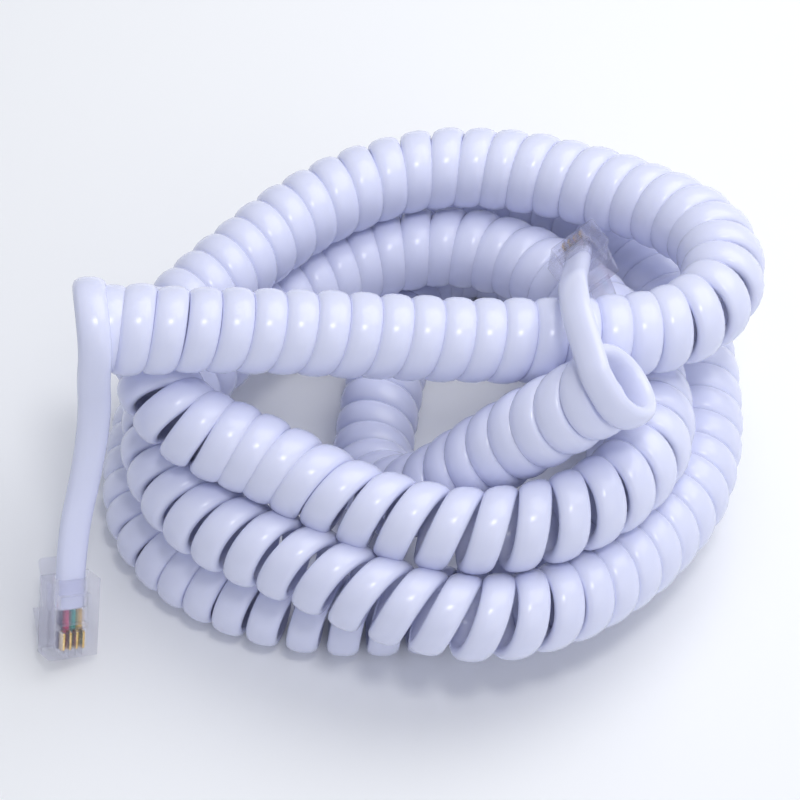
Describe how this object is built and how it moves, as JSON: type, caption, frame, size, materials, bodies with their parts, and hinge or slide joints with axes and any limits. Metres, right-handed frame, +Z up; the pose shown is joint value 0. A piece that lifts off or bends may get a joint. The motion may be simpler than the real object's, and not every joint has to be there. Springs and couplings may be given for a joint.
{
  "type": "coiled telephone handset cord",
  "caption": "White coiled telephone handset cord lying in a loose ring, a clear latching modular plug on each short straight lead.",
  "frame": {"origin": "on the table, under the middle of the ring's outer box", "axes": "+X along the straight crossing run, from the end of lead A towards the right-hand bend; +Y away from the side the leads hang on; +Z up"},
  "size_m": [0.1044, 0.0964, 0.0504],
  "materials": {
    "white_pvc": "smooth satin-gloss soft PVC",
    "clear_polycarbonate": "clear moulded polycarbonate",
    "gold_contact": "gold-plated phosphor bronze",
    "wire_black": "wire insulation",
    "wire_red": "wire insulation",
    "wire_green": "wire insulation",
    "wire_yellow": "wire insulation"
  },
  "bodies": {
    "cord": {"coil_top_run": "white_pvc", "coil_top_bend": "white_pvc", "coil_upper_back": "white_pvc", "coil_upper_left": "white_pvc", "coil_upper_front": "white_pvc", "coil_middle_back": "white_pvc", "coil_middle_left": "white_pvc", "coil_middle_front": "white_pvc", "coil_middle_right": "white_pvc", "coil_lower_back": "white_pvc", "coil_lower_left": "white_pvc", "coil_lower_front": "white_pvc", "coil_lower_right": "white_pvc", "coil_inner_run": "white_pvc", "coil_rising_end": "white_pvc", "lead_a": "white_pvc", "lead_b": "white_pvc", "plug_a_housing": "clear_polycarbonate", "plug_a_strain_relief_bar": "clear_polycarbonate", "plug_a_conductor_clamp": "clear_polycarbonate", "plug_a_contact_1": "gold_contact", "plug_a_contact_2": "gold_contact", "plug_a_contact_3": "gold_contact", "plug_a_contact_4": "gold_contact", "plug_a_conductor_1": "wire_black", "plug_a_conductor_2": "wire_red", "plug_a_conductor_3": "wire_green", "plug_a_conductor_4": "wire_yellow", "plug_b_housing": "clear_polycarbonate", "plug_b_strain_relief_bar": "clear_polycarbonate", "plug_b_conductor_clamp": "clear_polycarbonate", "plug_b_contact_1": "gold_contact", "plug_b_contact_2": "gold_contact", "plug_b_contact_3": "gold_contact", "plug_b_contact_4": "gold_contact", "plug_b_conductor_1": "wire_black", "plug_b_conductor_2": "wire_red", "plug_b_conductor_3": "wire_green", "plug_b_conductor_4": "wire_yellow"},
    "plug_a_latch": {"plug_a_latch": "clear_polycarbonate"},
    "plug_b_latch": {"plug_b_latch": "clear_polycarbonate"}
  },
  "joints": [
    {"name": "plug_a_latch_press", "type": "hinge", "parent": "cord", "child": "plug_a_latch", "pos_m": [-0.04864, -0.03568, 0.00174], "axis": [0.8569, 0.3862, -0.3416], "range_deg": [0, 15], "stiffness_Nm_per_rad": 0.2},
    {"name": "plug_b_latch_press", "type": "hinge", "parent": "cord", "child": "plug_b_latch", "pos_m": [0.02774, 0.01221, 0.02951], "axis": [-0.7787, -0.3079, -0.5467], "range_deg": [0, 15], "stiffness_Nm_per_rad": 0.2}
  ]
}
